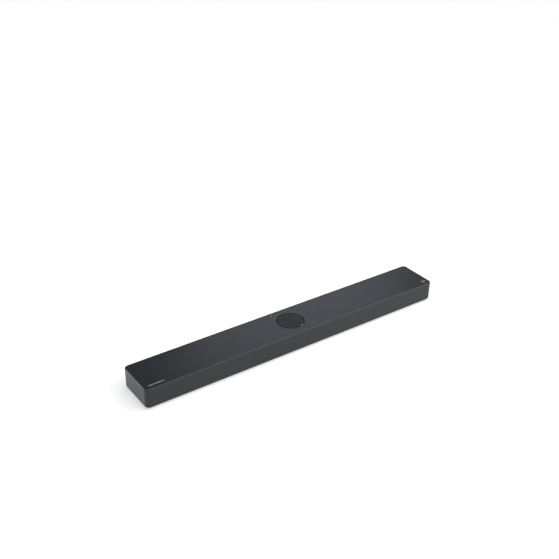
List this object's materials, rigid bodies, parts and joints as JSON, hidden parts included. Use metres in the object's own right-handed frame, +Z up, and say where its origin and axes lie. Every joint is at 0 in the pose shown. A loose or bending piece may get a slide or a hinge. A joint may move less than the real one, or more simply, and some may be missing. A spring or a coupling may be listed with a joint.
{
  "type": "soundbar",
  "caption": "Long low soundbar with rounded corners, wrapped grille, round centre top speaker, a row of small top keys and a rear connector bay.",
  "frame": {"origin": "under the middle of the bar, on the surface that its feet stand on", "axes": "+X along the bar's length, -Y is the listening side, +Z up"},
  "size_m": [0.975, 0.125, 0.063],
  "materials": {
    "painted_mesh": "satin paint over fine mesh",
    "disc_mesh": "matte, finely perforated",
    "ring_plastic": "satin",
    "lens_plastic": "translucent satin",
    "rear_plastic": "fine texture",
    "case_plastic": "fine texture",
    "key_plastic": "satin with a pale printed symbol",
    "board": "solder mask",
    "heatsink_aluminium": "brushed",
    "socket_metal": "satin",
    "socket_plastic": "satin",
    "brass": "machined",
    "screw_steel": "blackened",
    "foot_rubber": "matte",
    "basket_steel": "satin",
    "cone_paper": "matte pressed paper",
    "surround_rubber": "matte",
    "tweeter_plastic": "satin",
    "dome_silk": "matte"
  },
  "bodies": {
    "case": {"front_grille": "painted_mesh", "top_panel": "painted_mesh", "centre_grille": "disc_mesh", "centre_ring": "ring_plastic", "status_lens": "lens_plastic", "rear_cover": "rear_plastic", "bottom_cover": "case_plastic", "top_case": "case_plastic", "front_baffle": "case_plastic", "end_frame_left": "case_plastic", "end_frame_right": "case_plastic", "connector_tray": "case_plastic", "control_board": "board", "main_board": "board", "power_board": "board", "display_board": "board", "heatsink": "heatsink_aluminium", "av_out_socket": "socket_metal", "av_in_socket": "socket_metal", "optical_socket": "socket_plastic", "ac_inlet": "socket_plastic", "bracket_insert_left": "brass", "bracket_insert_right": "brass", "case_screw_1": "screw_steel", "case_screw_2": "screw_steel", "case_screw_3": "screw_steel", "case_screw_4": "screw_steel", "foot_front_left": "foot_rubber", "foot_front_right": "foot_rubber", "foot_rear_left": "foot_rubber", "foot_rear_right": "foot_rubber", "up_speaker_left_frame": "basket_steel", "up_speaker_centre_frame": "basket_steel", "up_speaker_right_frame": "basket_steel", "woofer_left_frame": "basket_steel", "woofer_centre_frame": "basket_steel", "woofer_right_frame": "basket_steel", "up_speaker_left_surround": "surround_rubber", "up_speaker_centre_surround": "surround_rubber", "up_speaker_right_surround": "surround_rubber", "woofer_left_surround": "surround_rubber", "woofer_centre_surround": "surround_rubber", "woofer_right_surround": "surround_rubber", "tweeter_left_body": "tweeter_plastic", "tweeter_right_body": "tweeter_plastic"},
    "key_power": {"key_power": "key_plastic"},
    "key_source": {"key_source": "key_plastic"},
    "key_pairing": {"key_pairing": "key_plastic"},
    "key_volume_down": {"key_volume_down": "key_plastic"},
    "key_play": {"key_play": "key_plastic"},
    "key_volume_up": {"key_volume_up": "key_plastic"},
    "key_sound_mode": {"key_sound_mode": "key_plastic"},
    "up_speaker_left_cone": {"up_speaker_left_cone": "cone_paper"},
    "up_speaker_centre_cone": {"up_speaker_centre_cone": "cone_paper"},
    "up_speaker_right_cone": {"up_speaker_right_cone": "cone_paper"},
    "woofer_left_cone": {"woofer_left_cone": "cone_paper"},
    "woofer_centre_cone": {"woofer_centre_cone": "cone_paper"},
    "woofer_right_cone": {"woofer_right_cone": "cone_paper"},
    "tweeter_left_dome": {"tweeter_left_dome": "dome_silk"},
    "tweeter_right_dome": {"tweeter_right_dome": "dome_silk"}
  },
  "joints": [
    {"name": "key_power_press", "type": "slide", "parent": "case", "child": "key_power", "axis": [0, 0, -1], "range_m": [0, 0.0004], "stiffness_N_per_m": 2500},
    {"name": "key_source_press", "type": "slide", "parent": "case", "child": "key_source", "axis": [0, 0, -1], "range_m": [0, 0.0004], "stiffness_N_per_m": 2500},
    {"name": "key_pairing_press", "type": "slide", "parent": "case", "child": "key_pairing", "axis": [0, 0, -1], "range_m": [0, 0.0004], "stiffness_N_per_m": 2500},
    {"name": "key_volume_down_press", "type": "slide", "parent": "case", "child": "key_volume_down", "axis": [0, 0, -1], "range_m": [0, 0.0004], "stiffness_N_per_m": 2500},
    {"name": "key_play_press", "type": "slide", "parent": "case", "child": "key_play", "axis": [0, 0, -1], "range_m": [0, 0.0004], "stiffness_N_per_m": 2500},
    {"name": "key_volume_up_press", "type": "slide", "parent": "case", "child": "key_volume_up", "axis": [0, 0, -1], "range_m": [0, 0.0004], "stiffness_N_per_m": 2500},
    {"name": "key_sound_mode_press", "type": "slide", "parent": "case", "child": "key_sound_mode", "axis": [0, 0, -1], "range_m": [0, 0.0004], "stiffness_N_per_m": 2500},
    {"name": "up_speaker_left_stroke", "type": "slide", "parent": "case", "child": "up_speaker_left_cone", "axis": [0, 0, 1], "range_m": [-0.0025, 0.0025], "stiffness_N_per_m": 1200, "deforming": ["up_speaker_left_surround"]},
    {"name": "woofer_left_stroke", "type": "slide", "parent": "case", "child": "woofer_left_cone", "axis": [0, -1, 0], "range_m": [-0.0025, 0.0025], "stiffness_N_per_m": 1200, "deforming": ["woofer_left_surround"]},
    {"name": "up_speaker_centre_stroke", "type": "slide", "parent": "case", "child": "up_speaker_centre_cone", "axis": [0, 0, 1], "range_m": [-0.0025, 0.0025], "stiffness_N_per_m": 1200, "deforming": ["up_speaker_centre_surround"]},
    {"name": "woofer_centre_stroke", "type": "slide", "parent": "case", "child": "woofer_centre_cone", "axis": [0, -1, 0], "range_m": [-0.0025, 0.0025], "stiffness_N_per_m": 1200, "deforming": ["woofer_centre_surround"]},
    {"name": "up_speaker_right_stroke", "type": "slide", "parent": "case", "child": "up_speaker_right_cone", "axis": [0, 0, 1], "range_m": [-0.0025, 0.0025], "stiffness_N_per_m": 1200, "deforming": ["up_speaker_right_surround"]},
    {"name": "woofer_right_stroke", "type": "slide", "parent": "case", "child": "woofer_right_cone", "axis": [0, -1, 0], "range_m": [-0.0025, 0.0025], "stiffness_N_per_m": 1200, "deforming": ["woofer_right_surround"]},
    {"name": "tweeter_left_stroke", "type": "slide", "parent": "case", "child": "tweeter_left_dome", "axis": [0, -1, 0], "range_m": [-0.0003, 0.0003], "stiffness_N_per_m": 3000},
    {"name": "tweeter_right_stroke", "type": "slide", "parent": "case", "child": "tweeter_right_dome", "axis": [0, -1, 0], "range_m": [-0.0003, 0.0003], "stiffness_N_per_m": 3000}
  ]
}
